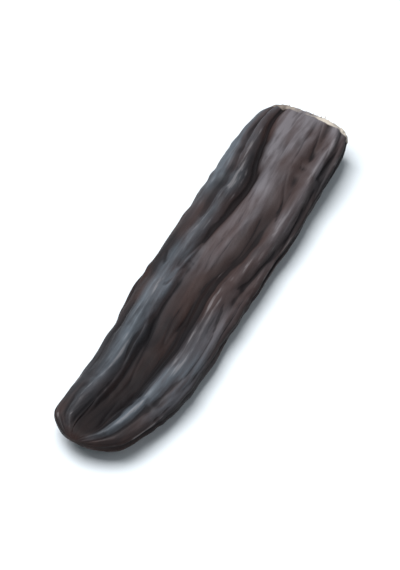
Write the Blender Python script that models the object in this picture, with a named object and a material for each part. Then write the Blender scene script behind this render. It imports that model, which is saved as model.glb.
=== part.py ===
"""One ripe, dried carob pod lying on a broad face. Metres, +Z up.

The stem end points to +X and the beak to -X. The skin is one run of rings, each in a plane across the X axis.
The pod's two edges are thick ridged margins. Between them each face is a panel that sinks towards the beak.
The far margin is the one on the +Y side, and the near margin is the one on the -Y side.
"""

import math

import bmesh
import bpy
import numpy as np

# Driving dimensions of the pod
LENGTH = 0.1320
WIDTH = 0.0305
THICKNESS = 0.0116
END_LIFT = 0.0022
END_LIFT_POWER = 2.5

# Where the two edges run, in shares of the width from a straight line along the pod, at shares of its length
FAR_EDGE_ALONG = (
    (0.00, 0.432), (0.03, 0.497), (0.07, 0.530), (0.14, 0.538), (0.23, 0.520), (0.31, 0.494), (0.40, 0.468),
    (0.49, 0.448), (0.60, 0.393), (0.72, 0.322), (0.83, 0.276), (0.90, 0.268), (0.95, 0.256), (1.00, 0.200),
)
NEAR_EDGE_ALONG = (
    (0.00, -0.385), (0.03, -0.435), (0.09, -0.475), (0.19, -0.524), (0.28, -0.575), (0.38, -0.578),
    (0.48, -0.595), (0.58, -0.622), (0.69, -0.670), (0.80, -0.660), (0.87, -0.606), (0.92, -0.545),
    (0.96, -0.470), (1.00, -0.360),
)

# Half-thickness along the pod, as shares of its largest value, and the section's roundness
THICKNESS_ALONG = (
    (0.00, 0.78), (0.04, 0.88), (0.14, 1.00), (0.35, 0.96), (0.55, 0.96), (0.72, 0.95), (0.84, 0.88),
    (0.91, 0.79), (0.955, 0.71), (1.00, 0.62),
)
FACE_FLATNESS = 3.2
EDGE_ROUNDNESS = 0.44
TWIST_ALONG = ((0.00, -5.4), (0.25, -2.9), (0.50, -1.4), (0.75, -0.4), (1.00, 3.6))

# The panel's feet, in degrees round the section from each edge, and how deep the panel sinks between them
FAR_FOOT_ALONG = (
    (0.00, 50.0), (0.05, 57.0), (0.12, 68.0), (0.21, 79.0), (0.31, 78.0), (0.41, 71.0), (0.51, 65.0),
    (0.61, 64.0), (0.70, 66.0), (0.80, 69.0), (0.89, 71.0), (1.00, 70.0),
)
NEAR_FOOT_ALONG = (
    (0.00, 50.0), (0.12, 54.0), (0.21, 57.0), (0.31, 58.0), (0.41, 62.0), (0.51, 68.0), (0.61, 70.0),
    (0.80, 72.0), (0.89, 71.0), (1.00, 66.0),
)
PANEL_DEPTH_ALONG = (
    (0.00, 0.00), (0.15, 0.00), (0.32, 0.12), (0.50, 0.38), (0.75, 0.52), (0.91, 0.50), (0.96, 0.34),
    (1.00, 0.00),
)
PANEL_SIDE = 0.48
FOOT_WAVER = 0.035

# Depth of the creases at the panel's feet, their spread in radians, and their strength along each side
CREASE_DEPTH = 0.00170
FAR_CREASE_SPREAD = 0.090
NEAR_CREASE_SPREAD = 0.130
FAR_CREASE_ALONG = (
    (0.00, 0.8), (0.05, 1.0), (0.34, 1.0), (0.46, 0.5), (0.60, 0.2), (0.72, 0.5), (0.85, 0.8), (0.95, 0.5),
    (1.00, 0.2),
)
NEAR_CREASE_ALONG = ((0.00, 0.15), (0.18, 0.35), (0.38, 0.8), (0.80, 0.9), (0.95, 0.6), (1.00, 0.2))

# Across a margin, from 0 at the edge to 1 at the panel's foot: the suture at 0, the groove at its place, and
# the crest midway from the groove to the foot. The ridge's spread is a share of that way.
CREST_RISE = 0.00070
GROOVE_DEPTH = 0.00110
SUTURE_DEPTH = 0.00060
SUTURE_SPREAD = 0.12
RIDGE_SPREAD = 0.36
FAR_GROOVE_PLACE = ((0.00, 0.66), (1.00, 0.66))
NEAR_GROOVE_PLACE = (
    (0.00, 0.60), (0.08, 0.50), (0.16, 0.38), (0.32, 0.38), (0.45, 0.52), (0.60, 0.60), (1.00, 0.64),
)
FAR_GROOVE_ALONG = ((0.00, 0.3), (0.06, 0.8), (0.30, 0.8), (0.45, 0.2), (1.00, 0.0))
NEAR_GROOVE_ALONG = (
    (0.00, 0.5), (0.12, 1.0), (0.46, 1.0), (0.62, 0.3), (0.80, 0.2), (0.90, 0.4), (1.00, 0.1),
)

# Swellings over the seeds, scallops of the margins, long folds and finer ribs
SEED_PITCH = 0.0094
SEED_RISE = 0.00015
SEED_SLANT = 0.0022
SCALLOP_PITCH = 0.0086
SCALLOP_RISE = 0.00020
SCALLOP_DRIFT = 0.8
FOLD_RISE = 0.00036
RIB_RISE = 0.00028
FOLD_SLANT = 0.02
SMOOTH_AT_STEM = 0.0022
SMOOTH_AT_BEAK = 0.040

# The lattices that vary the relief: rows along the pod, columns round it, and the seed of their heights
FOOT_LATTICE = (13, 2, 5)
SEED_LATTICE = (9, 2, 21)
DRIFT_LATTICE = (11, 2, 32)
SCALLOP_LATTICE = (17, 6, 31)
FOLD_LATTICE = (8, 14, 41)
RIB_LATTICE = (15, 24, 51)

# The stalk's short stub, the dished scar that it stands on, and the pod's shoulder round the scar
STALK_LENGTH = 0.0016
STALK_HALF_WIDTH = 0.0033
STALK_HALF_THICKNESS = 0.0025
STALK_ASIDE = -0.0030
SCAR_DISH = 0.0009
SHOULDER_ROUND = 0.0011

# How far the lowest ridges are flattened where the pod rests
REST_FLAT = 0.00090

# The skin's plain colour and roughness
SKIN_COLOUR = (0.034, 0.021, 0.017, 1.0)
SKIN_ROUGHNESS = 0.48

# The mesh: sides of a ring, how much they crowd towards the panel's feet, and rings on each stretch from the
# stub's cut end to the beak
SIDES = 56
FOOT_CROWDING = 1.4
CAP_RINGS = 2
STALK_RINGS = 2
FACE_RINGS = 4
SHOULDER_RINGS = 3
BODY_RINGS = 74
BEAK_RINGS = 11

# The beak is rounded off from this place along the pod, to a last ring with this share of the section
BEAK_STARTS = 0.950
TIP_SHARE = 0.06


def along_curve(table, place):
    """Smooth values through the table's points: cubic pieces whose slopes are the table's own gradient."""
    places, values = np.array(table).T
    slopes = np.gradient(values, places)
    place = np.clip(place, places[0], places[-1])
    left = np.clip(np.searchsorted(places, place, side="right") - 1, 0, len(places) - 2)
    span = places[left + 1] - places[left]
    f = (place - places[left]) / span
    return (
        (1 + 2 * f) * (1 - f) ** 2 * values[left]
        + f * (1 - f) ** 2 * span * slopes[left]
        + f * f * (3 - 2 * f) * values[left + 1]
        + f * f * (f - 1) * span * slopes[left + 1]
    )


def ease(f):
    """A smooth step from 0 to 1."""
    f = np.clip(f, 0, 1)
    return f * f * f * (f * (6 * f - 15) + 10)


def bump(offset, spread):
    """A bell of height 1, as wide as its spread."""
    return np.exp(-((offset / spread) ** 2))


def lattice_noise(along, around, rows, columns, seed):
    """Noise from -1 to 1: random heights on a lattice that closes round the pod, eased between them."""
    heights = np.random.default_rng(seed).uniform(-1, 1, (rows + 2, columns))
    row = np.clip(along, 0, 1) * rows
    column = (around % 1.0) * columns
    i, j = np.floor(row).astype(int), np.floor(column).astype(int) % columns
    down, across = ease(row - i), ease(column - np.floor(column))
    near = heights[i, j] * (1 - across) + heights[i, (j + 1) % columns] * across
    far = heights[i + 1, j] * (1 - across) + heights[i + 1, (j + 1) % columns] * across
    return near * (1 - down) + far * down


def rings():
    """For each ring, its distance from the stem end, the share of the pod's section in it, and its scale."""
    cap = np.linspace(1 / CAP_RINGS, 1, CAP_RINGS)
    stalk = np.linspace(0, 1, STALK_RINGS + 1)[1:]
    face = np.linspace(0, 1, FACE_RINGS + 1)[1:]
    shoulder = np.linspace(0, math.pi / 2, SHOULDER_RINGS + 1)[1:]
    face_share = 1 - SHOULDER_ROUND / (WIDTH / 2)
    body = np.linspace(SHOULDER_ROUND / LENGTH, BEAK_STARTS, BODY_RINGS + 1)[1:]
    beak = np.linspace(0, math.pi / 2, BEAK_RINGS + 1)[1:]
    distance = np.concatenate([
        np.full(CAP_RINGS, -STALK_LENGTH),
        -STALK_LENGTH * (1 - stalk) + SCAR_DISH * stalk,
        SCAR_DISH * (1 - face**2),
        SHOULDER_ROUND * (1 - np.cos(shoulder)),
        body * LENGTH,
        (BEAK_STARTS + (1 - BEAK_STARTS) * np.sin(beak)) * LENGTH,
    ])
    share = np.concatenate([
        np.zeros(CAP_RINGS + STALK_RINGS),
        face * face_share,
        face_share + (1 - face_share) * np.sin(shoulder),
        np.ones(BODY_RINGS + BEAK_RINGS),
    ])
    scale = np.concatenate([
        cap,
        np.ones(len(distance) - CAP_RINGS - BEAK_RINGS),
        TIP_SHARE + (1 - TIP_SHARE) * np.cos(beak),
    ])
    return distance[:, None], share[:, None], scale[:, None]


def feet(place):
    """Angles of the panel's two feet: 0 is the far edge, and half a turn is the near edge."""
    far_waver = FOOT_WAVER * lattice_noise(place, 0.0, *FOOT_LATTICE)
    near_waver = FOOT_WAVER * lattice_noise(place, 0.5, *FOOT_LATTICE)
    far = np.radians(along_curve(FAR_FOOT_ALONG, place)) + far_waver
    near = np.radians(along_curve(NEAR_FOOT_ALONG, place)) + near_waver
    return far, math.pi - near


def ring_angles(place):
    """A ring's angles, in four runs over each face: margin, the panel's two halves, and margin. The steps get
    finer towards the panel's feet."""
    far, near = feet(place)
    middle = (far + near) / 2
    run = np.arange(SIDES // 2 + 1)[None, :] / (SIDES / 8)
    first, second, third, fourth = (run.clip(i, i + 1) - i for i in range(4))
    first, third = (1 - (1 - f) ** FOOT_CROWDING for f in (first, third))
    second, fourth = (f**FOOT_CROWDING for f in (second, fourth))
    over = far * first + (middle - far) * second + (near - middle) * third + (math.pi - near) * fourth
    return np.concatenate([over[:, :-1], 2 * math.pi - over[:, :0:-1]], axis=1)


def face_places(place, angle):
    """Places on a face: inside the panel, 0 at a foot and 1 midway, then on a margin, 0 at the edge and 1 at
    the foot. The third is the angle past the nearer foot, and the last says which points are far ones."""
    far, near = feet(place)
    over = math.pi - np.abs(math.pi - angle)
    inside = 1 - np.abs(2 * over - far - near) / (near - far)
    is_far = 2 * over < far + near
    margin = np.where(is_far, over / far, (math.pi - over) / (math.pi - near))
    past = np.where(is_far, far - over, over - near)
    return inside, margin, past, is_far


def section(place, angle):
    """Across and up from the section's middle: a flattened round whose panel is sunk between its two margins.
    The last two values are the outward direction of that round as it is before the panel sinks."""
    half_width = WIDTH / 2 * (along_curve(FAR_EDGE_ALONG, place) - along_curve(NEAR_EDGE_ALONG, place))
    half_thickness = THICKNESS / 2 * along_curve(THICKNESS_ALONG, place)
    rim = (1 - np.abs(np.cos(angle)) ** FACE_FLATNESS).clip(0) ** EDGE_ROUNDNESS
    across, up = half_width * np.cos(angle), half_thickness * np.sign(np.sin(angle)) * rim
    run, rise = (np.roll(value, -1, axis=1) - np.roll(value, 1, axis=1) for value in (across, up))
    sunk = along_curve(PANEL_DEPTH_ALONG, place) * ease(face_places(place, angle)[0] / PANEL_SIDE)
    return across, up * (1 - sunk), rise / np.hypot(run, rise), -run / np.hypot(run, rise)


def on_each_side(far_table, near_table, place, is_far):
    """Values along the pod, from the far margin's table or the near margin's."""
    return np.where(is_far, along_curve(far_table, place), along_curve(near_table, place))


def relief(place, angle):
    """Height of the skin over the section: creases, crests and grooves, seeds, scallops, folds and ribs."""
    across, turn = np.cos(angle), angle / (2 * math.pi)
    inside, margin, past, is_far = face_places(place, angle)
    crease = bump(past, np.where(is_far, FAR_CREASE_SPREAD, NEAR_CREASE_SPREAD))
    crease = crease * on_each_side(FAR_CREASE_ALONG, NEAR_CREASE_ALONG, place, is_far)
    groove_place = on_each_side(FAR_GROOVE_PLACE, NEAR_GROOVE_PLACE, place, is_far)
    spread = RIDGE_SPREAD * (1 - groove_place)
    groove = bump(margin - groove_place, spread)
    groove = groove * on_each_side(FAR_GROOVE_ALONG, NEAR_GROOVE_ALONG, place, is_far)
    crest = bump(margin - (1 + groove_place) / 2, spread)
    suture = bump(margin, SUTURE_SPREAD)
    seed_wave = np.cos(2 * math.pi * (place * LENGTH + SEED_SLANT * across) / SEED_PITCH)
    seeds = ease(inside) * seed_wave * (1 + lattice_noise(place, turn, *SEED_LATTICE)) / 2
    drift = SCALLOP_DRIFT * lattice_noise(place, turn, *DRIFT_LATTICE)
    scallop_wave = np.cos(2 * math.pi * (place * LENGTH / SCALLOP_PITCH + drift))
    scallops = (1 - ease(inside)) * scallop_wave * (1 + lattice_noise(place, turn, *SCALLOP_LATTICE)) / 2
    folds = lattice_noise(place + FOLD_SLANT * across, turn, *FOLD_LATTICE)
    ribs = lattice_noise(place - FOLD_SLANT * across, turn, *RIB_LATTICE)
    cut = CREASE_DEPTH * crease + GROOVE_DEPTH * groove + SUTURE_DEPTH * suture
    raised = CREST_RISE * crest + SEED_RISE * seeds + SCALLOP_RISE * scallops
    return raised - cut + FOLD_RISE * folds + RIB_RISE * ribs


def pod_points():
    """Every ring's points. The rings stay upright: they slide aside as the pod bows, and up at its ends."""
    distance, share, scale = rings()
    place = np.clip(distance / LENGTH, 0, 1)
    angle = ring_angles(place)

    across, up, out_across, out_up = section(place, angle)
    height = relief(place, angle) * ease(distance / SMOOTH_AT_STEM) * ease((1 - place) / SMOOTH_AT_BEAK)
    across = across + height * out_across
    up = up + height * out_up
    stub = 1 - share
    across = scale * (share * across + stub * STALK_HALF_WIDTH * np.cos(angle)) + stub * STALK_ASIDE
    up = scale * (share * up + stub * STALK_HALF_THICKNESS * np.sin(angle))

    twist = np.radians(along_curve(TWIST_ALONG, place))
    across, up = across * np.cos(twist) - up * np.sin(twist), across * np.sin(twist) + up * np.cos(twist)
    aside = WIDTH / 2 * (along_curve(FAR_EDGE_ALONG, place) + along_curve(NEAR_EDGE_ALONG, place))
    lift = END_LIFT * np.abs(2 * place - 1) ** END_LIFT_POWER
    return np.stack([LENGTH / 2 - distance + 0 * across, aside + across, lift + up], axis=-1)


def rested(points):
    """The points with their lowest ridges flattened on Z = 0, and their box centred on the Z axis."""
    points = points - [0.0, 0.0, points[..., 2].min() + REST_FLAT]
    points[..., 2] = points[..., 2].clip(0)
    middle = (points.min(axis=(0, 1)) + points.max(axis=(0, 1))) / 2
    return points - [middle[0], middle[1], 0.0]


def skin_mesh(points):
    """One closed skin: the first ring is extruded from place to place, and both ends are closed by a fan."""
    shape = bmesh.new()
    number = shape.verts.layers.int.new("side")
    first = [shape.verts.new(point) for point in points[0]]
    for k, vertex in enumerate(first):
        vertex[number] = k
    start = [shape.edges.new((first[k], first[(k + 1) % SIDES])) for k in range(SIDES)]
    edges = start
    for ring in points[1:]:
        made = bmesh.ops.extrude_edge_only(shape, edges=edges)["geom"]
        for vertex in (item for item in made if isinstance(item, bmesh.types.BMVert)):
            vertex.co = ring[vertex[number]]
        edges = [
            item for item in made if isinstance(item, bmesh.types.BMEdge) and len(item.link_faces) == 1
        ]
    for loop in (start, edges):
        cap = bmesh.ops.contextual_create(shape, geom=loop)["faces"]
        bmesh.ops.poke(shape, faces=cap)
    bmesh.ops.recalc_face_normals(shape, faces=shape.faces)
    bmesh.ops.triangulate(shape, faces=shape.faces)
    mesh = bpy.data.meshes.new("carob_pod")
    shape.to_mesh(mesh)
    shape.free()
    mesh.shade_smooth()
    return mesh


def pod_material():
    material = bpy.data.materials.new("pod_skin")
    material.use_nodes = True
    skin = material.node_tree.nodes["Principled BSDF"]
    skin.inputs["Base Color"].default_value = SKIN_COLOUR
    skin.inputs["Roughness"].default_value = SKIN_ROUGHNESS
    return material


def main():
    for old in list(bpy.data.objects):
        bpy.data.objects.remove(old)
    mesh = skin_mesh(rested(pod_points()))
    mesh.materials.append(pod_material())
    pod = bpy.data.objects.new("carob_pod", mesh)
    bpy.context.scene.collection.objects.link(pod)


main()
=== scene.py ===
import math

import bpy
import numpy as np
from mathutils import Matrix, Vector


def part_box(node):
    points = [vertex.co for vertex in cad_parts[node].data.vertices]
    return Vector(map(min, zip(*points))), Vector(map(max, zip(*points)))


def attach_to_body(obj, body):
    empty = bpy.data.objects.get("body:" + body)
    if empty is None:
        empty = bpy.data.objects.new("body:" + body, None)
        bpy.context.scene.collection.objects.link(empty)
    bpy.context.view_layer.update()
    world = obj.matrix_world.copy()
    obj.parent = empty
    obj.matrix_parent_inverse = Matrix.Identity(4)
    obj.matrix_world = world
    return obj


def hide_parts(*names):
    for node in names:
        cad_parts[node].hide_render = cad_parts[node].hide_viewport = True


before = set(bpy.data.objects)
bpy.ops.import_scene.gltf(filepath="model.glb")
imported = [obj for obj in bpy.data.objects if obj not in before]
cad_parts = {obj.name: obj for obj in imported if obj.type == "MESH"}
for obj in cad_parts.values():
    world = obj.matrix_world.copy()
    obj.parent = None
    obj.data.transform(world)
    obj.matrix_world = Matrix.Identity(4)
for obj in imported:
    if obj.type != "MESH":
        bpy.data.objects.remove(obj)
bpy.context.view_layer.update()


# The husk. It grew as one piece: a leathery case with two thick ridged margins, and on each face a panel
# that sinks towards the beak. It has dried hard and near black, wrinkled lengthwise, with a grey bloom and
# painted sheen on its ridges and painted shade in its creases, and it broke from its stalk at a dished scar
# with a pale torn rim.

LENGTH = 0.1320
WIDTH = 0.0305
THICKNESS = 0.0116
END_LIFT = 0.0022
END_LIFT_POWER = 2.5
FAR_EDGE_ALONG = (
    (0.00, 0.432), (0.03, 0.497), (0.07, 0.530), (0.14, 0.538), (0.23, 0.520), (0.31, 0.494), (0.40, 0.468),
    (0.49, 0.448), (0.60, 0.393), (0.72, 0.322), (0.83, 0.276), (0.90, 0.268), (0.95, 0.256), (1.00, 0.200),
)
NEAR_EDGE_ALONG = (
    (0.00, -0.385), (0.03, -0.435), (0.09, -0.475), (0.19, -0.524), (0.28, -0.575), (0.38, -0.578),
    (0.48, -0.595), (0.58, -0.622), (0.69, -0.670), (0.80, -0.660), (0.87, -0.606), (0.92, -0.545),
    (0.96, -0.470), (1.00, -0.360),
)
THICKNESS_ALONG = (
    (0.00, 0.78), (0.04, 0.88), (0.14, 1.00), (0.35, 0.96), (0.55, 0.96), (0.72, 0.95), (0.84, 0.88),
    (0.91, 0.79), (0.955, 0.71), (1.00, 0.62),
)
FACE_FLATNESS = 3.2
EDGE_ROUNDNESS = 0.44
TWIST_ALONG = ((0.00, -5.4), (0.25, -2.9), (0.50, -1.4), (0.75, -0.4), (1.00, 3.6))
FAR_FOOT_ALONG = (
    (0.00, 50.0), (0.05, 57.0), (0.12, 68.0), (0.21, 79.0), (0.31, 78.0), (0.41, 71.0), (0.51, 65.0),
    (0.61, 64.0), (0.70, 66.0), (0.80, 69.0), (0.89, 71.0), (1.00, 70.0),
)
NEAR_FOOT_ALONG = (
    (0.00, 50.0), (0.12, 54.0), (0.21, 57.0), (0.31, 58.0), (0.41, 62.0), (0.51, 68.0), (0.61, 70.0),
    (0.80, 72.0), (0.89, 71.0), (1.00, 66.0),
)
PANEL_DEPTH_ALONG = (
    (0.00, 0.00), (0.15, 0.00), (0.32, 0.12), (0.50, 0.38), (0.75, 0.52), (0.91, 0.50), (0.96, 0.34),
    (1.00, 0.00),
)
PANEL_SIDE = 0.48
FOOT_WAVER = 0.035
CREASE_DEPTH = 0.00170
FAR_CREASE_SPREAD = 0.090
NEAR_CREASE_SPREAD = 0.130
FAR_CREASE_ALONG = (
    (0.00, 0.8), (0.05, 1.0), (0.34, 1.0), (0.46, 0.5), (0.60, 0.2), (0.72, 0.5), (0.85, 0.8), (0.95, 0.5),
    (1.00, 0.2),
)
NEAR_CREASE_ALONG = ((0.00, 0.15), (0.18, 0.35), (0.38, 0.8), (0.80, 0.9), (0.95, 0.6), (1.00, 0.2))
CREST_RISE = 0.00070
GROOVE_DEPTH = 0.00110
SUTURE_DEPTH = 0.00060
SUTURE_SPREAD = 0.12
RIDGE_SPREAD = 0.36
FAR_GROOVE_PLACE = ((0.00, 0.66), (1.00, 0.66))
NEAR_GROOVE_PLACE = (
    (0.00, 0.60), (0.08, 0.50), (0.16, 0.38), (0.32, 0.38), (0.45, 0.52), (0.60, 0.60), (1.00, 0.64),
)
FAR_GROOVE_ALONG = ((0.00, 0.3), (0.06, 0.8), (0.30, 0.8), (0.45, 0.2), (1.00, 0.0))
NEAR_GROOVE_ALONG = (
    (0.00, 0.5), (0.12, 1.0), (0.46, 1.0), (0.62, 0.3), (0.80, 0.2), (0.90, 0.4), (1.00, 0.1),
)
SEED_PITCH = 0.0094
SEED_RISE = 0.00015
SEED_SLANT = 0.0022
SCALLOP_PITCH = 0.0086
SCALLOP_RISE = 0.00020
SCALLOP_DRIFT = 0.8
FOLD_RISE = 0.00036
RIB_RISE = 0.00028
FOLD_SLANT = 0.02
SMOOTH_AT_STEM = 0.0022
SMOOTH_AT_BEAK = 0.040
FOOT_LATTICE = (13, 2, 5)
SEED_LATTICE = (9, 2, 21)
DRIFT_LATTICE = (11, 2, 32)
SCALLOP_LATTICE = (17, 6, 31)
FOLD_LATTICE = (8, 14, 41)
RIB_LATTICE = (15, 24, 51)
STALK_LENGTH = 0.0016
STALK_HALF_WIDTH = 0.0033
STALK_HALF_THICKNESS = 0.0025
STALK_ASIDE = -0.0030
SCAR_DISH = 0.0009
SHOULDER_ROUND = 0.0011

# The finer wrinkles: rows along the husk, columns round it, the seed of each noise, and their heights
WARP_LATTICE = (12, 8, 61)
LONG_CREASE_LATTICE = (6, 20, 62)
FINE_CREASE_LATTICE = (14, 44, 63)
SOFT_FOLD_LATTICE = (9, 34, 67)
PUCKER_LATTICE = (70, 30, 64)
PUCKER_PLACES_LATTICE = (20, 9, 65)
TORN_LATTICE = (150, 46, 66)
WARP_ALONG = 0.006
WARP_AROUND = 0.007
LONG_CREASE_DEPTH = 0.00026
FINE_CREASE_DEPTH = 0.00004
SOFT_FOLD_RISE = 0.00020
CREASE_LINE = 0.12
PUCKER_RISE = 0.00003
TORN_RISE = 0.00034
TORN_REACH = 0.00195
TORN_BLEND = 0.0013

# Where the skin has a grey bloom with painted sheen laid over it: on the panel, most on its far half, on
# each margin's ridge, and on the near margin's side. The near ridge's bloom and sheen turn from mauve to a
# blue-grey painted reflection of the cool light on its way to the beak.
PANEL_BLOOM_AND_SHEEN_ALONG = (
    (0.00, 2.0), (0.07, 1.4), (0.14, 1.1), (0.25, 1.1), (0.38, 0.9), (0.48, 0.5), (0.56, 0.15), (0.75, 0.0),
    (1.00, 0.0),
)
PANEL_FADE_ALONG = ((0.00, 0.35), (0.14, 0.60), (0.28, 0.85), (1.00, 0.85))
FAR_RIDGE_ALONG = (
    (0.00, 0.50), (0.20, 0.15), (0.36, 0.45), (0.60, 0.80), (0.80, 0.70), (0.89, 0.35), (1.00, 0.10),
)
FAR_FOOT_BLOOM_AND_SHEEN_ALONG = ((0.00, 0.0), (0.36, 0.0), (0.50, 0.8), (0.62, 0.8), (0.72, 0.4), (1.00, 0.0))
FAR_SIDE_ALONG = (
    (0.00, 0.60), (0.12, 1.20), (0.22, 1.00), (0.32, 0.30), (0.42, 0.05), (0.70, 0.10), (0.88, 0.20),
    (1.00, 0.00),
)
NEAR_RIDGE_ALONG = (
    (0.00, 2.0), (0.08, 1.4), (0.22, 1.3), (0.30, 0.9), (0.36, 0.3), (0.44, 0.2), (0.64, 0.2), (0.90, 0.9),
    (1.00, 0.5),
)
NEAR_SIDE_ALONG = (
    (0.00, 0.80), (0.08, 0.30), (0.30, 0.20), (0.42, 0.55), (0.55, 0.75), (0.80, 0.80), (0.86, 0.40),
    (0.92, 0.10), (1.00, 0.00),
)
BLOOM_AND_SHEEN_SPREAD = 0.46
FOOT_BLOOM_AND_SHEEN_SPREAD = 0.22
FAR_SIDE_PLACE = 0.35
NEAR_SIDE_PLACE = 0.45
SIDE_SPREAD = 0.30
FADE_FROM = 0.35
BLUE_FROM = 0.50
BLUE_OVER = 0.35

# Painted shade: how dark the panel's bed is painted, and how far the painted shade of each crease reaches,
# on to its margin and into the panel
PANEL_DARK_ALONG = (
    (0.00, 0.0), (0.40, 0.0), (0.55, 0.6), (0.72, 0.8), (0.84, 1.0), (0.92, 1.2), (1.00, 1.2),
)
DARK_ON_MARGIN = 0.07
DARK_IN_FAR_PANEL = 0.07
DARK_IN_NEAR_PANEL = 0.30
FAR_DARK_ALONG = (
    (0.00, 0.3), (0.12, 0.4), (0.20, 0.9), (0.30, 1.0), (0.42, 0.6), (0.50, 0.0), (0.64, 0.0), (0.74, 0.8),
    (1.00, 1.0),
)
NEAR_DARK_ALONG = ((0.00, 0.2), (0.18, 0.5), (0.32, 1.0), (0.90, 1.0), (1.00, 0.8))

# The painted shade of the near margin's groove and of the pod's two edges, the scale of the tip's rings
# below which bloom, sheen and painted shade fade, and how pale the break is, on its rim and on the stub
GROOVE_DARK_SPREAD = 0.28
GROOVE_DARKNESS = 0.8
EDGE_SHADE_SPREAD = 0.24
EDGE_SHADE = 0.9
TIP_FADE = 0.95
RIM_PALENESS = 0.66
STUB_PALENESS = 0.40

# The grid: sides of a ring, and rings on each stretch from the stub's cut end to the beak's tip
SIDES = 224
CAP_RINGS = 8
STALK_RINGS = 8
FACE_RINGS = 20
SHOULDER_RINGS = 10
BODY_RINGS = 338
BEAK_RINGS = 46
BEAK_STARTS = 0.950
TIP_SHARE = 0.06

# Passes that even the husk out to measure its fine and its broad relief, which are painted in millimetres
FINE_PASSES = 6
BROAD_PASSES = 60
MILLIMETRES = 1000


def along_curve(table, place):
    """Smooth values through the table's points: cubic pieces whose slopes are the table's own gradient."""
    places, values = np.array(table).T
    slopes = np.gradient(values, places)
    place = np.clip(place, places[0], places[-1])
    left = np.clip(np.searchsorted(places, place, side="right") - 1, 0, len(places) - 2)
    span = places[left + 1] - places[left]
    f = (place - places[left]) / span
    return (
        (1 + 2 * f) * (1 - f) ** 2 * values[left]
        + f * (1 - f) ** 2 * span * slopes[left]
        + f * f * (3 - 2 * f) * values[left + 1]
        + f * f * (f - 1) * span * slopes[left + 1]
    )


def ease(f):
    """A smooth step from 0 to 1: 6 times the fifth power, less 15 of the fourth, and 10 of the cube."""
    f = np.clip(f, 0, 1)
    return f * f * f * (f * (6 * f - 15) + 10)


def bump(offset, spread):
    """A bell of height 1: e to minus the square of the offset over the spread."""
    return np.exp(-((offset / spread) ** 2))


def lattice_noise(along, around, rows, columns, seed):
    """Noise from -1 to 1: random heights on a lattice that closes round the pod, eased between them."""
    heights = np.random.default_rng(seed).uniform(-1, 1, (rows + 2, columns))
    row = np.clip(along, 0, 1) * rows
    column = (around % 1.0) * columns
    i, j = np.floor(row).astype(int), np.floor(column).astype(int) % columns
    down, across = ease(row - i), ease(column - np.floor(column))
    near = heights[i, j] * (1 - across) + heights[i, (j + 1) % columns] * across
    far = heights[i + 1, j] * (1 - across) + heights[i + 1, (j + 1) % columns] * across
    return near * (1 - down) + far * down


def slope_noise(along, around, rows, columns, seed):
    """Noise from about -1 to 1: each lattice corner has a random slope, and the planes of the four corners
    are eased into each other."""
    slopes = np.random.default_rng(seed).normal(0, 1, (2, rows + 3, columns))
    row, column = np.clip(along, 0, 1.02) * rows, (around % 1.0) * columns
    i, j = np.floor(row).astype(int), np.floor(column).astype(int)
    down, across = row - i, column - j

    def plane(k, m):
        fall, run = slopes[:, i + k, (j + m) % columns]
        return fall * (down - k) + run * (across - m)

    near = plane(0, 0) * (1 - ease(across)) + plane(0, 1) * ease(across)
    far = plane(1, 0) * (1 - ease(across)) + plane(1, 1) * ease(across)
    return near * (1 - ease(down)) + far * ease(down)


def rings():
    """For each ring, its distance from the stem end, its share of the pod's section, and its scale."""
    cap = np.linspace(0, 1, CAP_RINGS + 1)[1:]
    stalk = np.linspace(0, 1, STALK_RINGS + 1)[1:]
    face = np.linspace(0, 1, FACE_RINGS + 1)[1:]
    shoulder = np.linspace(0, math.pi / 2, SHOULDER_RINGS + 1)[1:]
    face_share = 1 - SHOULDER_ROUND / (WIDTH / 2)
    body = np.linspace(SHOULDER_ROUND / LENGTH, BEAK_STARTS, BODY_RINGS + 1)[1:]
    beak = np.linspace(0, math.pi / 2, BEAK_RINGS + 1)[1:]
    distance = np.concatenate([
        np.full(CAP_RINGS, -STALK_LENGTH),
        -STALK_LENGTH * (1 - stalk) + SCAR_DISH * stalk,
        SCAR_DISH * (1 - face**2),
        SHOULDER_ROUND * (1 - np.cos(shoulder)),
        body * LENGTH,
        (BEAK_STARTS + (1 - BEAK_STARTS) * np.sin(beak)) * LENGTH,
    ])
    share = np.concatenate([
        np.zeros(CAP_RINGS + STALK_RINGS),
        face * face_share,
        face_share + (1 - face_share) * np.sin(shoulder),
        np.ones(BODY_RINGS + BEAK_RINGS),
    ])
    scale = np.concatenate([
        cap,
        np.ones(len(distance) - CAP_RINGS - BEAK_RINGS),
        TIP_SHARE + (1 - TIP_SHARE) * np.cos(beak),
    ])
    return distance[:, None], share[:, None], scale[:, None]


def feet(place):
    """Angles of the panel's two feet: 0 is the far edge, and half a turn is the near edge."""
    far_waver = FOOT_WAVER * lattice_noise(place, 0.0, *FOOT_LATTICE)
    near_waver = FOOT_WAVER * lattice_noise(place, 0.5, *FOOT_LATTICE)
    far = np.radians(along_curve(FAR_FOOT_ALONG, place)) + far_waver
    near = np.radians(along_curve(NEAR_FOOT_ALONG, place)) + near_waver
    return far, math.pi - near


def ring_angles(place):
    """A ring's angles, in four even runs over each face: margin, the panel's two halves, and margin."""
    far, near = feet(place)
    middle = (far + near) / 2
    run = np.arange(SIDES // 2 + 1)[None, :] / (SIDES / 8)
    first, second, third, fourth = (run.clip(i, i + 1) - i for i in range(4))
    over = far * first + (middle - far) * second + (near - middle) * third + (math.pi - near) * fourth
    return np.concatenate([over[:, :-1], 2 * math.pi - over[:, :0:-1]], axis=1)


def face_places(place, angle):
    """Places on a face: inside the panel, 0 at a foot and 1 midway, then on a margin, 0 at the edge and 1
    at the foot. The third is the angle past the nearer foot, and the last says which points are far ones."""
    far, near = feet(place)
    over = math.pi - np.abs(math.pi - angle)
    inside = 1 - np.abs(2 * over - far - near) / (near - far)
    is_far = 2 * over < far + near
    margin = np.where(is_far, over / far, (math.pi - over) / (math.pi - near))
    past = np.where(is_far, far - over, over - near)
    return inside, margin, past, is_far


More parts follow.
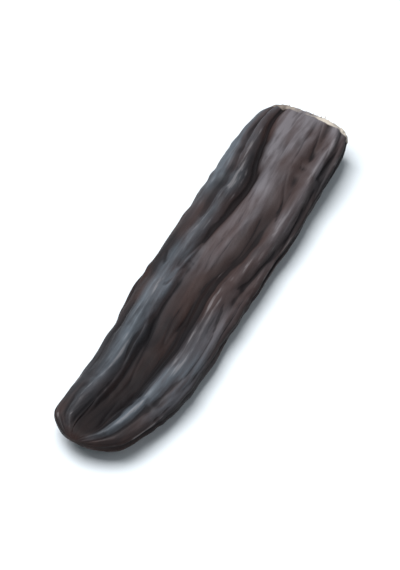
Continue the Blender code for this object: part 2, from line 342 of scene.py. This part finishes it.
def section(place, angle):
    """Across and up from the section's middle: a flattened round whose panel is sunk between two margins.
    The last two values are the outward direction of that round as it is before the panel sinks."""
    half_width = WIDTH / 2 * (along_curve(FAR_EDGE_ALONG, place) - along_curve(NEAR_EDGE_ALONG, place))
    half_thickness = THICKNESS / 2 * along_curve(THICKNESS_ALONG, place)
    rim = (1 - np.abs(np.cos(angle)) ** FACE_FLATNESS).clip(0) ** EDGE_ROUNDNESS
    across, up = half_width * np.cos(angle), half_thickness * np.sign(np.sin(angle)) * rim
    run, rise = (np.roll(value, -1, axis=1) - np.roll(value, 1, axis=1) for value in (across, up))
    sunk = along_curve(PANEL_DEPTH_ALONG, place) * ease(face_places(place, angle)[0] / PANEL_SIDE)
    return across, up * (1 - sunk), rise / np.hypot(run, rise), -run / np.hypot(run, rise)


def on_each_side(far_table, near_table, place, is_far):
    """Values along the pod, from the far margin's table or the near margin's."""
    return np.where(is_far, along_curve(far_table, place), along_curve(near_table, place))


def relief(place, angle):
    """Height of the skin over the section: creases, crests and grooves, seeds, scallops, folds and ribs."""
    across, turn = np.cos(angle), angle / (2 * math.pi)
    inside, margin, past, is_far = face_places(place, angle)
    crease = bump(past, np.where(is_far, FAR_CREASE_SPREAD, NEAR_CREASE_SPREAD))
    crease = crease * on_each_side(FAR_CREASE_ALONG, NEAR_CREASE_ALONG, place, is_far)
    groove_place = on_each_side(FAR_GROOVE_PLACE, NEAR_GROOVE_PLACE, place, is_far)
    spread = RIDGE_SPREAD * (1 - groove_place)
    groove = bump(margin - groove_place, spread)
    groove = groove * on_each_side(FAR_GROOVE_ALONG, NEAR_GROOVE_ALONG, place, is_far)
    crest = bump(margin - (1 + groove_place) / 2, spread)
    suture = bump(margin, SUTURE_SPREAD)
    seed_wave = np.cos(2 * math.pi * (place * LENGTH + SEED_SLANT * across) / SEED_PITCH)
    seeds = ease(inside) * seed_wave * (1 + lattice_noise(place, turn, *SEED_LATTICE)) / 2
    drift = SCALLOP_DRIFT * lattice_noise(place, turn, *DRIFT_LATTICE)
    scallop_wave = np.cos(2 * math.pi * (place * LENGTH / SCALLOP_PITCH + drift))
    scallops = (1 - ease(inside)) * scallop_wave * (1 + lattice_noise(place, turn, *SCALLOP_LATTICE)) / 2
    folds = lattice_noise(place + FOLD_SLANT * across, turn, *FOLD_LATTICE)
    ribs = lattice_noise(place - FOLD_SLANT * across, turn, *RIB_LATTICE)
    cut = CREASE_DEPTH * crease + GROOVE_DEPTH * groove + SUTURE_DEPTH * suture
    raised = CREST_RISE * crest + SEED_RISE * seeds + SCALLOP_RISE * scallops
    return raised - cut + FOLD_RISE * folds + RIB_RISE * ribs


def husk_points(distance, share, scale, place, angle):
    """The husk as the frame has it, and the same points on a straight, untwisted pod. The rings stay
    upright: they slide aside as the pod bows, and up at its ends."""
    across, up, out_across, out_up = section(place, angle)
    height = relief(place, angle) * ease(distance / SMOOTH_AT_STEM) * ease((1 - place) / SMOOTH_AT_BEAK)
    across = across + height * out_across
    up = up + height * out_up
    stub = 1 - share
    across = scale * (share * across + stub * STALK_HALF_WIDTH * np.cos(angle)) + stub * STALK_ASIDE
    up = scale * (share * up + stub * STALK_HALF_THICKNESS * np.sin(angle))
    straight = np.stack([distance + 0 * across, across, up], axis=-1)

    twist = np.radians(along_curve(TWIST_ALONG, place))
    across, up = across * np.cos(twist) - up * np.sin(twist), across * np.sin(twist) + up * np.cos(twist)
    aside = WIDTH / 2 * (along_curve(FAR_EDGE_ALONG, place) + along_curve(NEAR_EDGE_ALONG, place))
    lift = END_LIFT * np.abs(2 * place - 1) ** END_LIFT_POWER
    return np.stack([LENGTH / 2 - distance + 0 * across, aside + across, lift + up], axis=-1), straight


def outward(points):
    """Unit normals of a grid of rings: the step to the next ring crossed with the step round the ring."""
    ends = np.concatenate([points[:1], points, points[-1:]])
    normals = np.cross(ends[2:] - ends[:-2], np.roll(points, -1, axis=1) - np.roll(points, 1, axis=1))
    return normals / np.linalg.norm(normals, axis=-1, keepdims=True).clip(1e-12)


def evened(points, passes):
    """The points, averaged in each pass with their neighbours along and round the grid: a half of their own
    place, and a quarter of each neighbour's."""
    for _ in range(passes):
        ends = np.concatenate([points[:1], points, points[-1:]])
        points = points / 2 + (ends[:-2] + ends[2:]) / 4
        points = points / 2 + (np.roll(points, 1, axis=1) + np.roll(points, -1, axis=1)) / 4
    return points


def wrinkles(run, turn, torn):
    """Height of the fine skin: creases lie where two warped noises cross zero, soft folds are a noise that
    is stretched along the pod, and puckers one that is stretched round it. Where the skin is torn, a coarse
    noise takes their place."""
    warp = slope_noise(run, turn, *WARP_LATTICE)
    along, around = run + WARP_ALONG * warp, turn + WARP_AROUND * warp
    long_crease = bump(slope_noise(along, around, *LONG_CREASE_LATTICE), CREASE_LINE)
    fine_crease = bump(slope_noise(along, around, *FINE_CREASE_LATTICE), CREASE_LINE)
    places = ease(0.5 + slope_noise(run, turn, *PUCKER_PLACES_LATTICE))
    puckers = places * slope_noise(along, around, *PUCKER_LATTICE)
    skin = PUCKER_RISE * puckers - LONG_CREASE_DEPTH * long_crease - FINE_CREASE_DEPTH * fine_crease
    skin = skin + SOFT_FOLD_RISE * slope_noise(along, around, *SOFT_FOLD_LATTICE)
    return (1 - torn) * skin + torn * TORN_RISE * slope_noise(run, turn, *TORN_LATTICE)


def with_poles(grid):
    """A grid's values in one list, after the mean of its first ring and before the mean of its last."""
    return np.concatenate([grid[0].mean(0)[None], grid.reshape(-1, grid.shape[-1]), grid[-1].mean(0)[None]])


def grid_faces(count, sides):
    """Faces over a grid of rings that has its poles: quads between the rings, then a fan of triangles at the
    first pole, and one at the last."""
    corner = 1 + np.arange(count * sides).reshape(count, sides)
    beside = np.roll(corner, -1, axis=1)
    quads = np.stack([corner[:-1], corner[1:], beside[1:], beside[:-1]], axis=-1).reshape(-1, 4)
    first = np.stack([np.zeros(sides, int), corner[0], beside[0]], axis=-1)
    last = np.stack([np.full(sides, count * sides + 1), beside[-1], corner[-1]], axis=-1)
    return quads.tolist(), first.tolist(), last.tolist()


def paint(mesh, name, grid):
    """Keeps a value, or a vector, at each point of a grid for the material to read by name."""
    kind, field = ("FLOAT_VECTOR", "vector") if grid.shape[-1] == 3 else ("FLOAT", "value")
    mesh.attributes.new(name, kind, "POINT").data.foreach_set(field, with_poles(grid).ravel())


# The husk's points, moved to where the solid's box has them
distance, share, scale = rings()
place = np.clip(distance / LENGTH, 0, 1)
angle = ring_angles(place)
points, straight = husk_points(distance, share, scale, place, angle)
low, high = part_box("carob_pod")
points += [low.x + LENGTH / 2, low.y - points[..., 1].min(), high.z - points[..., 2].max()]

# The same, wrinkled: the noises run on the way along the skin, as a share of the whole
steps = np.linalg.norm(np.diff(points, axis=0), axis=-1).mean(axis=1)
run = np.concatenate([[0], steps.cumsum()])[:, None]
run = run / run[-1]
torn = ease((TORN_REACH - distance) / TORN_BLEND) + 0 * angle
points += outward(points) * (scale * wrinkles(run, angle / (2 * math.pi), torn))[..., None]
points[..., 2] = points[..., 2].clip(0)

# What the material reads: relief, bloom with painted sheen, painted shade, and how pale the break is
normals = outward(points)
fine_relief = ((points - evened(points, FINE_PASSES)) * normals).sum(axis=-1)
broad_relief = ((points - evened(points, BROAD_PASSES)) * normals).sum(axis=-1)
inside, margin, past, is_far = face_places(place, angle)
panel = ease(inside / PANEL_SIDE)
channel = panel * along_curve(PANEL_DEPTH_ALONG, place) / max(depth for _, depth in PANEL_DEPTH_ALONG)
across_panel = np.where(is_far, inside / 2, 1 - inside / 2)
# The grey bloom with its painted sheen, on the panel, the ridges, the far foot and the sides; blue marks
# where it is a blue-grey painted reflection of the cool light, and the rest is mauve
fade = along_curve(PANEL_FADE_ALONG, place) * ease((across_panel - FADE_FROM) / (1 - FADE_FROM))
panel_bloom_and_sheen = panel * (1 - fade) * along_curve(PANEL_BLOOM_AND_SHEEN_ALONG, place)
groove_place = on_each_side(FAR_GROOVE_PLACE, NEAR_GROOVE_PLACE, place, is_far)
ridge = bump(margin - (1 + groove_place) / 2, BLOOM_AND_SHEEN_SPREAD * (1 - groove_place))
ridge = ridge * on_each_side(FAR_RIDGE_ALONG, NEAR_RIDGE_ALONG, place, is_far)
far_foot = bump(past, FOOT_BLOOM_AND_SHEEN_SPREAD) * along_curve(FAR_FOOT_BLOOM_AND_SHEEN_ALONG, place) * is_far
side_place = np.where(is_far, FAR_SIDE_PLACE, NEAR_SIDE_PLACE)
side = bump(margin - side_place, SIDE_SPREAD)
side = side * on_each_side(FAR_SIDE_ALONG, NEAR_SIDE_ALONG, place, is_far)
blue = np.where(is_far, 1.0, ease((place - BLUE_FROM) / BLUE_OVER))
bloom_and_sheen_on_face = panel_bloom_and_sheen + (ridge + side) * (1 - blue)
bloom_and_sheen_on_ridge = np.maximum(ridge * blue, far_foot) + side * blue
# Painted shade: darkness laid along the creases, in the near margin's groove, along the pod's two edges and
# over the panel's sunk bed, fading at the tip
dark_in_panel = np.where(is_far, DARK_IN_FAR_PANEL, DARK_IN_NEAR_PANEL)
dark_reach = np.where(past > 0, DARK_ON_MARGIN, dark_in_panel)
crease = bump(past, dark_reach) * on_each_side(FAR_DARK_ALONG, NEAR_DARK_ALONG, place, is_far)
groove = bump(margin - groove_place, GROOVE_DARK_SPREAD * (1 - groove_place))
groove = GROOVE_DARKNESS * groove * along_curve(NEAR_GROOVE_ALONG, place) * ~is_far
edge = EDGE_SHADE * bump(margin, EDGE_SHADE_SPREAD)
deep = panel * along_curve(PANEL_DARK_ALONG, place)
crease = np.maximum(np.maximum(crease, groove), np.maximum(edge, deep)) * ease(scale / TIP_FADE)
bloom_and_sheen_on_face, bloom_and_sheen_on_ridge = (value * ease(scale / TIP_FADE) for value in (bloom_and_sheen_on_face, bloom_and_sheen_on_ridge))
paleness = ease(RIM_PALENESS - share * np.cos(angle) / 2)
paleness = paleness * (STUB_PALENESS + (1 - STUB_PALENESS) * share**2)

quads, first_fan, last_fan = grid_faces(*angle.shape)
husk_mesh = bpy.data.meshes.new("pod_husk")
husk_mesh.from_pydata(with_poles(points).tolist(), [], quads + first_fan + last_fan)
husk_mesh.shade_smooth()
paint(husk_mesh, "grain", straight)
paint(husk_mesh, "fine_relief", fine_relief[..., None] * MILLIMETRES)
paint(husk_mesh, "broad_relief", broad_relief[..., None] * MILLIMETRES)
paint(husk_mesh, "channel", channel[..., None])
# These two carry the grey bloom with its painted sheen, and the crease value after them the painted shade
paint(husk_mesh, "bloom_and_sheen_on_face", bloom_and_sheen_on_face[..., None])
paint(husk_mesh, "bloom_and_sheen_on_ridge", bloom_and_sheen_on_ridge[..., None])
paint(husk_mesh, "crease", crease[..., None])
paint(husk_mesh, "torn", torn[..., None])
paint(husk_mesh, "paleness", paleness[..., None])
husk = bpy.data.objects.new("pod_husk", husk_mesh)
bpy.context.scene.collection.objects.link(husk)


class Shade:
    """A socket of a material. Python's operators on it add Math nodes, and node() adds any other node."""

    def __init__(self, tree, socket=None):
        self.tree = tree
        self.socket = socket

    def node(self, kind, settings, values, output=0):
        """An output of a new node, whose settings are set first and then its sockets' values or links."""
        made = self.tree.nodes.new("ShaderNode" + kind)
        for name, setting in settings.items():
            setattr(made, name, setting)
        for name, value in values.items():
            if isinstance(value, Shade):
                self.tree.links.new(value.socket, made.inputs[name])
            else:
                made.inputs[name].default_value = value
        return Shade(self.tree, made.outputs[output])

    def maths(self, operation, *values):
        return self.node("Math", {"operation": operation}, dict(enumerate(values)))

    def __add__(self, other):
        return self.maths("ADD", self, other)

    def __sub__(self, other):
        return self.maths("SUBTRACT", self, other)

    def __rsub__(self, other):
        return self.maths("SUBTRACT", other, self)

    def __mul__(self, other):
        return self.maths("MULTIPLY", self, other)

    __radd__ = __add__
    __rmul__ = __mul__

    def held(self):
        """The value, kept from 0 to 1."""
        return self.node("Clamp", {}, {"Value": self})

    def between(self, low, high):
        """A smooth step from 0 where the value is low to 1 where it is high."""
        return self.node(
            "MapRange",
            {"interpolation_type": "SMOOTHSTEP"},
            {"Value": self, "From Min": low, "From Max": high},
        )

    def blend(self, first, second):
        """The first colour where the value is 0, and the second where it is 1."""
        return self.node("Mix", {"data_type": "RGBA"}, {0: self, 6: first, 7: second}, 2)

    def noise(self, size, stretch, detail):
        """Noise on these coordinates: its cells have that size in metres, and that stretch along X."""
        place = self.node("VectorMath", {"operation": "MULTIPLY"}, {0: self, 1: (1 / stretch, 1, 1)})
        return place.node("TexNoise", {}, {"Vector": place, "Scale": 1 / size, "Detail": detail})


def new_material(name):
    """A material with only its Principled node, and that node."""
    material = bpy.data.materials.new(name)
    material.use_nodes = True
    return material, material.node_tree.nodes["Principled BSDF"]


def attach(shader, sockets):
    """Links each socket of the shader that is named to what it is given."""
    for name, value in sockets.items():
        value.tree.links.new(value.socket, shader.inputs[name])


# Colours of the skin, as linear red, green and blue
NEAR_BLACK = (0.0115, 0.0095, 0.0100, 1)
CHESTNUT = (0.036, 0.0185, 0.0150, 1)
# Painted shade, laid in the creases and hollows
CREASE_SHADE = (0.0030, 0.0024, 0.0028, 1)
# Grey bloom with painted sheen: on the ridges a blue-grey that is a painted reflection of the cool light,
# and on the panel and the near side a mauve one
RIDGE_BLOOM_AND_SHEEN = (0.082, 0.094, 0.108, 1)
FACE_BLOOM_AND_SHEEN = (0.128, 0.114, 0.121, 1)
SCUFF = (0.22, 0.20, 0.20, 1)
TORN_BROWN = (0.10, 0.075, 0.062, 1)
TORN_TAN = (0.44, 0.38, 0.32, 1)


def husk_material():
    """Brown and near black in lengthwise streaks, with painted shade in the creases and hollows, a blue-grey
    bloom with painted sheen on the ridges, a mauve one on the panel and the near side, and a pale torn rim.
    The finest grain is a bump."""
    material, shader = new_material("husk_skin")
    tree = Shade(material.node_tree)
    grain = tree.node("Attribute", {"attribute_name": "grain"}, {}, "Vector")
    fine = tree.node("Attribute", {"attribute_name": "fine_relief"}, {}, "Fac")
    broad = tree.node("Attribute", {"attribute_name": "broad_relief"}, {}, "Fac")
    channel = tree.node("Attribute", {"attribute_name": "channel"}, {}, "Fac")
    bloom_and_sheen_on_face = tree.node("Attribute", {"attribute_name": "bloom_and_sheen_on_face"}, {}, "Fac")
    bloom_and_sheen_on_ridge = tree.node("Attribute", {"attribute_name": "bloom_and_sheen_on_ridge"}, {}, "Fac")
    crease = tree.node("Attribute", {"attribute_name": "crease"}, {}, "Fac")
    torn = tree.node("Attribute", {"attribute_name": "torn"}, {}, "Fac")
    paleness = tree.node("Attribute", {"attribute_name": "paleness"}, {}, "Fac")

    blotches = grain.noise(0.009, 2.5, 2)
    streaks = grain.noise(0.0013, 12, 4)
    mottle = grain.noise(0.0030, 3, 4)
    pebbles = grain.noise(0.00042, 1.6, 2)

    warm = (blotches.between(0.35, 0.65) * 0.7 + streaks.between(0.4, 0.7) * 0.2 + channel * 0.15).held()
    patchy = 0.30 + 0.40 * mottle.between(0.32, 0.62) + 0.40 * streaks.between(0.35, 0.65)
    # Bloom with painted sheen, on the ridges lighter where the skin stands proud
    ridge_bloom_and_sheen = (bloom_and_sheen_on_ridge * patchy * (0.6 + 0.6 * broad.between(-0.1, 0.4))).held()
    face_bloom_and_sheen = (bloom_and_sheen_on_face * patchy * (0.5 + 0.5 * blotches.between(0.62, 0.42))).held()
    # Painted shade where the skin lies below its evened surface, and in the painted creases, grooves, edges
    # and panel bed
    sunk = (0 - fine).between(0.02, 0.12) * 0.5 + (0 - broad).between(0.1, 0.6) * 0.5
    hollow_shade = (sunk + crease * 0.7).held()
    scuffs = fine.between(0.06, 0.14) * streaks.between(0.55, 0.68)
    edge = torn.between(0.2, 0.7) * mottle.between(0.3, 0.6)
    broken = (paleness * (0.7 + 0.3 * streaks)).blend(TORN_BROWN, TORN_TAN)

    colour = warm.blend(NEAR_BLACK, CHESTNUT)
    # Bloom with painted sheen over the skin's own colour, then painted shade in the hollows
    colour = (face_bloom_and_sheen * 0.75).blend(colour, FACE_BLOOM_AND_SHEEN)
    colour = (ridge_bloom_and_sheen * 0.75).blend(colour, RIDGE_BLOOM_AND_SHEEN)
    colour = (hollow_shade * 0.85).blend(colour, CREASE_SHADE)
    colour = (scuffs * 0.3).blend(colour, SCUFF)
    colour = edge.blend(colour, broken)
    roughness = 0.52 + 0.20 * hollow_shade + 0.16 * (mottle - 0.5) + 0.25 * edge
    height = pebbles * 0.7 + streaks * 0.9 + mottle * 0.6
    attach(shader, {
        "Base Color": colour,
        "Roughness": roughness,
        "Coat Weight": ridge_bloom_and_sheen * (1 - hollow_shade) * 0.15,
        "Normal": tree.node("Bump", {}, {"Strength": 0.45, "Distance": 0.00020, "Height": height}),
    })
    shader.inputs["Specular IOR Level"].default_value = 0.10
    shader.inputs["Coat Roughness"].default_value = 0.36
    return material


husk_mesh.materials.append(husk_material())
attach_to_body(husk, "root")
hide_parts("carob_pod")


# The torn fibres. The stalk is a bundle of woody strands, and where the pod broke from the tree their ends
# stand out of the stub's broken face, and a few more out of the scar's rim. They are tan, short and stiff,
# and each tapers to a point.

STRANDS = 90
STRAND_RINGS = 7
STRAND_SIDES = 5
STRAND_LENGTHS = (0.0003, 0.0011)
STRAND_RADII = (0.00008, 0.00018)
STRAND_LEAN = 0.30
STRAND_BEND = 0.18
STRAND_ROOT = 0.0003
STRAND_TIP = 0.02

# The share of the strands that stand on the scar's rim, and the share of a strand's length that these have.
# The roots spread over this many rings each way from the rim's edge, and down the stub from its broken face.
RIM_STRANDS = 0.25
RIM_STRAND_LENGTH = 0.6
RIM_ROOT_RINGS = 3
STUB_ROOT_RINGS = 3

draw = np.random.default_rng(71)
on_rim = draw.random(STRANDS) < RIM_STRANDS
first_rim_ring = CAP_RINGS + STALK_RINGS + FACE_RINGS
strand_ring = np.where(
    on_rim,
    draw.integers(first_rim_ring - RIM_ROOT_RINGS, first_rim_ring + RIM_ROOT_RINGS, STRANDS),
    draw.integers(1, CAP_RINGS + STUB_ROOT_RINGS, STRANDS),
)
strand_side = draw.integers(0, SIDES, STRANDS)
root = points[strand_ring, strand_side] - STRAND_ROOT * normals[strand_ring, strand_side]
lean = normals[strand_ring, strand_side] + [1.0, 0.0, 0.0] + draw.normal(0, STRAND_LEAN, (STRANDS, 3))
lean /= np.linalg.norm(lean, axis=1, keepdims=True)
bend = STRAND_BEND * draw.normal(0, 1, (STRANDS, 3))
strand_length = draw.uniform(*STRAND_LENGTHS, STRANDS) * np.where(on_rim, RIM_STRAND_LENGTH, 1.0)
strand_radius = draw.uniform(*STRAND_RADII, STRANDS)
strand_tone = draw.random(STRANDS)


def strand_points(k):
    """A tapered, curved strand: its line leans from the root and bends with the square of the way along it,
    and its rings shrink by the square root of what is left of it."""
    way = np.linspace(0, 1, STRAND_RINGS)[:, None, None]
    side = np.linspace(0, 2 * math.pi, STRAND_SIDES, endpoint=False)[None, :, None]
    beside = np.cross(lean[k], [0.0, 0.0, 1.0])
    beside /= np.linalg.norm(beside)
    over = np.cross(lean[k], beside)
    reach = STRAND_ROOT + strand_length[k]
    line = root[k] + reach * (way * lean[k] + way**2 * bend[k])
    radius = strand_radius[k] * np.sqrt(1 + STRAND_TIP - way)
    return line + radius * (beside * np.cos(side) + over * np.sin(side))


def strand_material():
    """Tan wood, from pale to brown from strand to strand, with fine streaks."""
    material, shader = new_material("stalk_fibre")
    tree = Shade(material.node_tree)
    tone = tree.node("Attribute", {"attribute_name": "tone"}, {}, "Fac")
    place = tree.node("TexCoord", {}, {}, "Object")
    streaks = place.noise(0.00025, 6, 2)
    colour = (tone * 0.7 + streaks.between(0.3, 0.7) * 0.3).blend(
        (0.13, 0.075, 0.045, 1), (0.46, 0.34, 0.24, 1)
    )
    attach(shader, {
        "Base Color": colour,
        "Roughness": 0.6 + streaks * 0.25,
        "Normal": tree.node("Bump", {}, {"Strength": 0.5, "Distance": 0.00004, "Height": streaks}),
    })
    return material


strands = [with_poles(strand_points(k)) for k in range(STRANDS)]
per_strand = len(strands[0])
quads, first_fan, last_fan = grid_faces(STRAND_RINGS, STRAND_SIDES)
a_strand = quads + first_fan + last_fan
faces = [[corner + k * per_strand for corner in face] for k in range(STRANDS) for face in a_strand]
fibre_mesh = bpy.data.meshes.new("stalk_fibres")
fibre_mesh.from_pydata(np.concatenate(strands).tolist(), [], faces)
fibre_mesh.shade_smooth()
tones = np.repeat(strand_tone, per_strand)
fibre_mesh.attributes.new("tone", "FLOAT", "POINT").data.foreach_set("value", tones)
fibre_mesh.materials.append(strand_material())
fibres = bpy.data.objects.new("stalk_fibres", fibre_mesh)
bpy.context.scene.collection.objects.link(fibres)
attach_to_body(fibres, "root")


# The floor. A plain sheet of matt white board that the pod lies on, wide enough to run past the picture on
# every side. It isn't part of the pod.

FLOOR_RADIUS = 3.0
FLOOR_LEVEL = -0.00005
FLOOR_RINGS = 6
FLOOR_SIDES = 64


def floor_points(reach, turn):
    """A flat disc: each point at that share of the radius, at that share of a turn."""
    radius, angle = FLOOR_RADIUS * reach, 2 * math.pi * turn
    level = FLOOR_LEVEL + 0 * radius * turn
    return np.stack([radius * np.cos(angle), radius * np.sin(angle), level], axis=-1)


def floor_material():
    """Matt white board with a very faint mottle."""
    material, shader = new_material("white_board")
    tree = Shade(material.node_tree)
    place = tree.node("TexCoord", {}, {}, "Object")
    mottle = place.noise(0.06, 1, 3)
    attach(shader, {
        "Base Color": mottle.blend((0.56, 0.57, 0.58, 1), (0.59, 0.60, 0.61, 1)),
        "Roughness": 0.75 + mottle * 0.1,
    })
    return material


reach = np.linspace(0, 1, FLOOR_RINGS + 1)[1:, None] ** 2
turn = np.arange(FLOOR_SIDES)[None, :] / FLOOR_SIDES
quads, middle, _ = grid_faces(FLOOR_RINGS, FLOOR_SIDES)
floor_mesh = bpy.data.meshes.new("floor")
floor_mesh.from_pydata(with_poles(floor_points(reach, turn))[:-1].tolist(), [], quads + middle)
floor_mesh.materials.append(floor_material())
floor = bpy.data.objects.new("floor", floor_mesh)
bpy.context.scene.collection.objects.link(floor)


# The light. One large soft light hangs nearly overhead, as the photograph's does, a weaker one fills in
# from the near side, and a pale blue surround keeps the shadows soft and cool.


def softbox(name, azimuth, elevation, reach, size, power, colour):
    """A square light that faces the pod from that side and height, at that reach from it."""
    a, e = math.radians(azimuth), math.radians(elevation)
    light = bpy.data.lights.new(name, "AREA")
    light.size = size
    light.energy = power
    light.color = colour
    lamp = bpy.data.objects.new(name, light)
    lamp.location = reach * Vector((math.sin(a) * math.cos(e), -math.cos(a) * math.cos(e), math.sin(e)))
    lamp.rotation_mode = "QUATERNION"
    lamp.rotation_quaternion = (-lamp.location).to_track_quat("-Z", "Y")
    bpy.context.scene.collection.objects.link(lamp)


softbox("key_light", 190, 74, 1.1, 0.9, 28, (0.93, 0.97, 1.0))
softbox("fill_light", -20, 40, 1.3, 0.9, 3, (0.95, 0.97, 1.0))
surround = bpy.data.worlds.new("surround")
surround.use_nodes = True
surround.node_tree.nodes["Background"].inputs["Color"].default_value = (0.72, 0.86, 0.95, 1)
surround.node_tree.nodes["Background"].inputs["Strength"].default_value = 0.30
bpy.context.scene.world = surround


# The camera. It looks down at the photograph's angle through a long lens, close enough for the pod to fill
# the frame from corner to corner as it lies in the photograph.

CAMERA_AZIMUTH = -59
CAMERA_ELEVATION = 50
LENS = 400
SENSOR = 36
FRAME_HEIGHT = 0.158
AIM = Vector((0.0, 0.0, 0.005))

lens = bpy.data.cameras.new("camera")
lens.lens = LENS
lens.sensor_width = SENSOR
camera = bpy.data.objects.new("camera", lens)
a, e = math.radians(CAMERA_AZIMUTH), math.radians(CAMERA_ELEVATION)
back = Vector((math.sin(a) * math.cos(e), -math.cos(a) * math.cos(e), math.sin(e)))
camera.location = AIM + back * FRAME_HEIGHT * LENS / SENSOR
camera.rotation_mode = "QUATERNION"
camera.rotation_quaternion = (-back).to_track_quat("-Z", "Y")
bpy.context.scene.collection.objects.link(camera)
bpy.context.scene.camera = camera
bpy.context.scene.view_settings.view_transform = "Standard"
